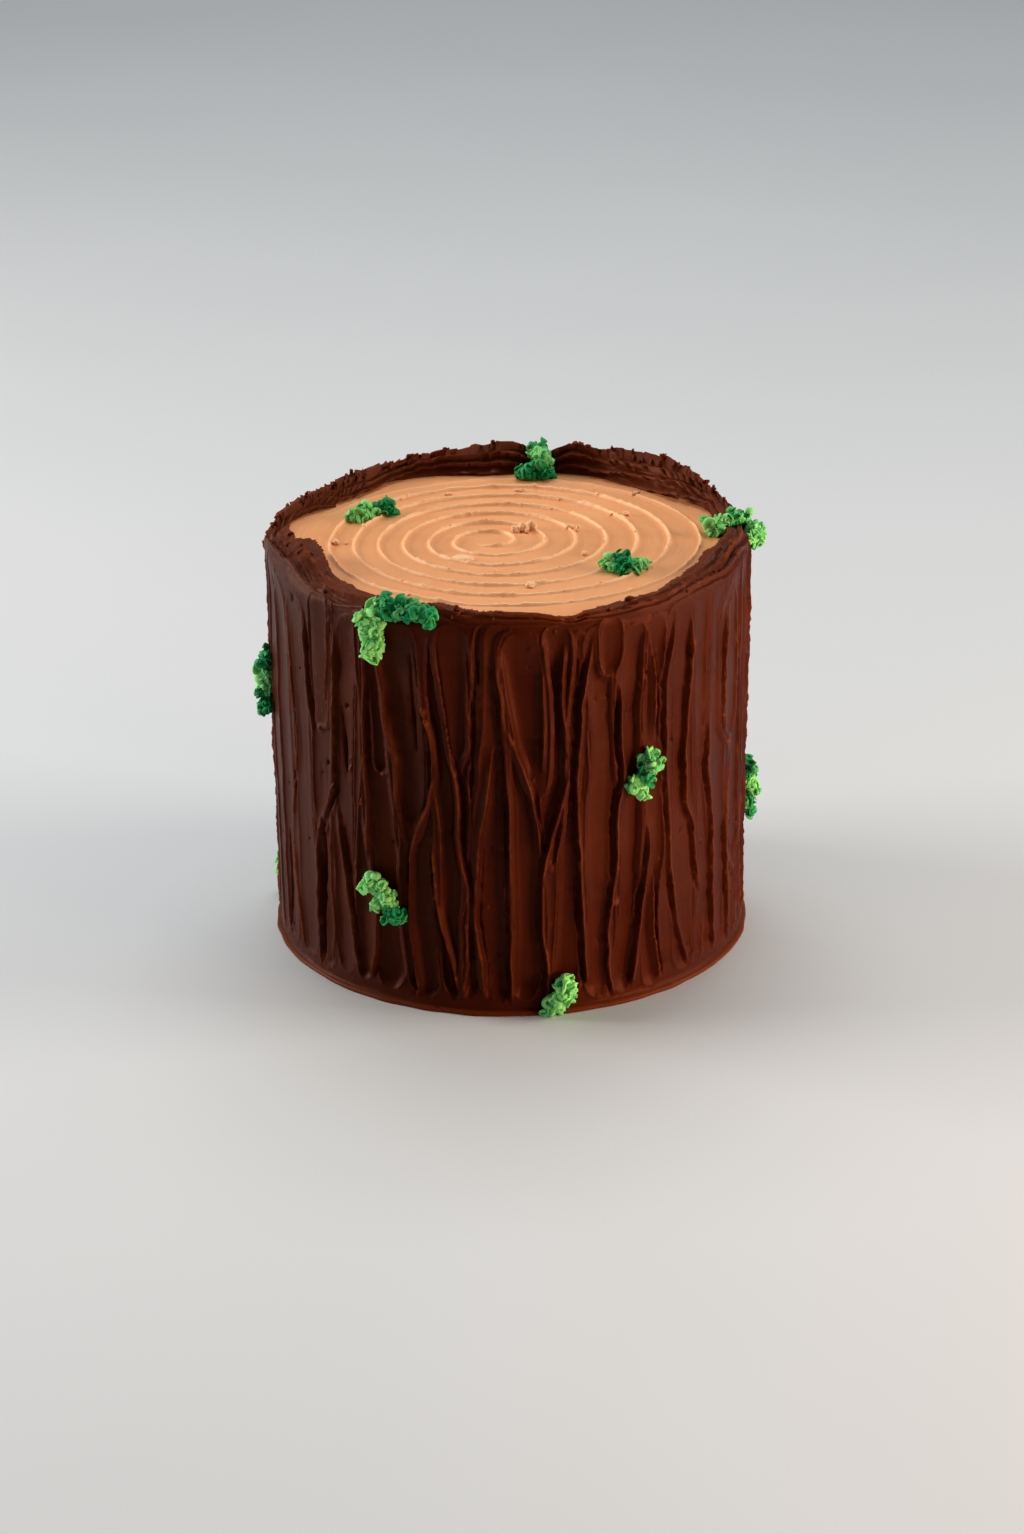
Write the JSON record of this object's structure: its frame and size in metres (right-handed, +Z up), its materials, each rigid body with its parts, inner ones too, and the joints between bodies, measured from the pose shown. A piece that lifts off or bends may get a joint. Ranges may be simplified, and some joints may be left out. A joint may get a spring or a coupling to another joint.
{
  "type": "tree stump cake",
  "caption": "Tall round layer cake iced as a tree stump, with knife-worked chocolate bark, a spiral caramel round on top and green moss clumps.",
  "frame": {"origin": "middle of the cake's flat underside", "axes": "+Z up, -Y towards the side that the picture shows"},
  "size_m": [0.1676, 0.1656, 0.1416],
  "materials": {
    "chocolate_buttercream": "satin chocolate buttercream, drawn with a palette knife",
    "caramel_buttercream": "satin caramel buttercream with a spiral groove",
    "moss_buttercream": "soft green buttercream strands pressed through a sieve"
  },
  "bodies": {
    "root": {"chocolate_cake": "chocolate_buttercream", "caramel_round": "caramel_buttercream", "moss_round_left": "moss_buttercream", "moss_round_right": "moss_buttercream", "moss_collar_back": "moss_buttercream", "moss_collar_right": "moss_buttercream", "moss_collar_left": "moss_buttercream", "moss_side_left": "moss_buttercream", "moss_side_middle": "moss_buttercream", "moss_side_low": "moss_buttercream", "moss_foot": "moss_buttercream", "moss_side_far_left": "moss_buttercream", "moss_side_right": "moss_buttercream", "moss_back_high": "moss_buttercream", "moss_back_low": "moss_buttercream", "moss_back_middle": "moss_buttercream", "moss_back_left": "moss_buttercream"}
  },
  "joints": []
}
